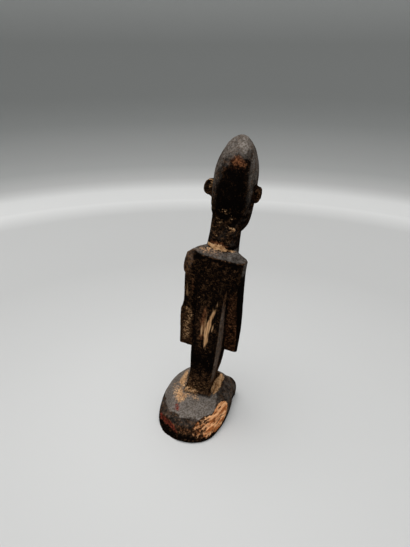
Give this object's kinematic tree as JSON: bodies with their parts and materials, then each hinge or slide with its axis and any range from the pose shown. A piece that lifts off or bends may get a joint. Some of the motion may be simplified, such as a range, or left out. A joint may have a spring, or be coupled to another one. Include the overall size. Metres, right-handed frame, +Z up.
{
  "type": "wooden statuette",
  "caption": "Slim carved wooden standing figure with a pointed head, thick neck and slab arms, leaning on a rounded pebble base; a decorative ornament that stands freely.",
  "frame": {"origin": "on the flat underside of the base, under the middle of the base", "axes": "+Z up; the figure faces -Y, and its own left side is +X; it leans towards -X"},
  "size_m": [0.0481, 0.0485, 0.15],
  "materials": {
    "carved_wood": "near-black waxed patina, rubbed back to golden and orange bare wood at edges, chips and the middle of the back"
  },
  "bodies": {
    "root": {"carved_figure": "carved_wood"}
  },
  "joints": []
}
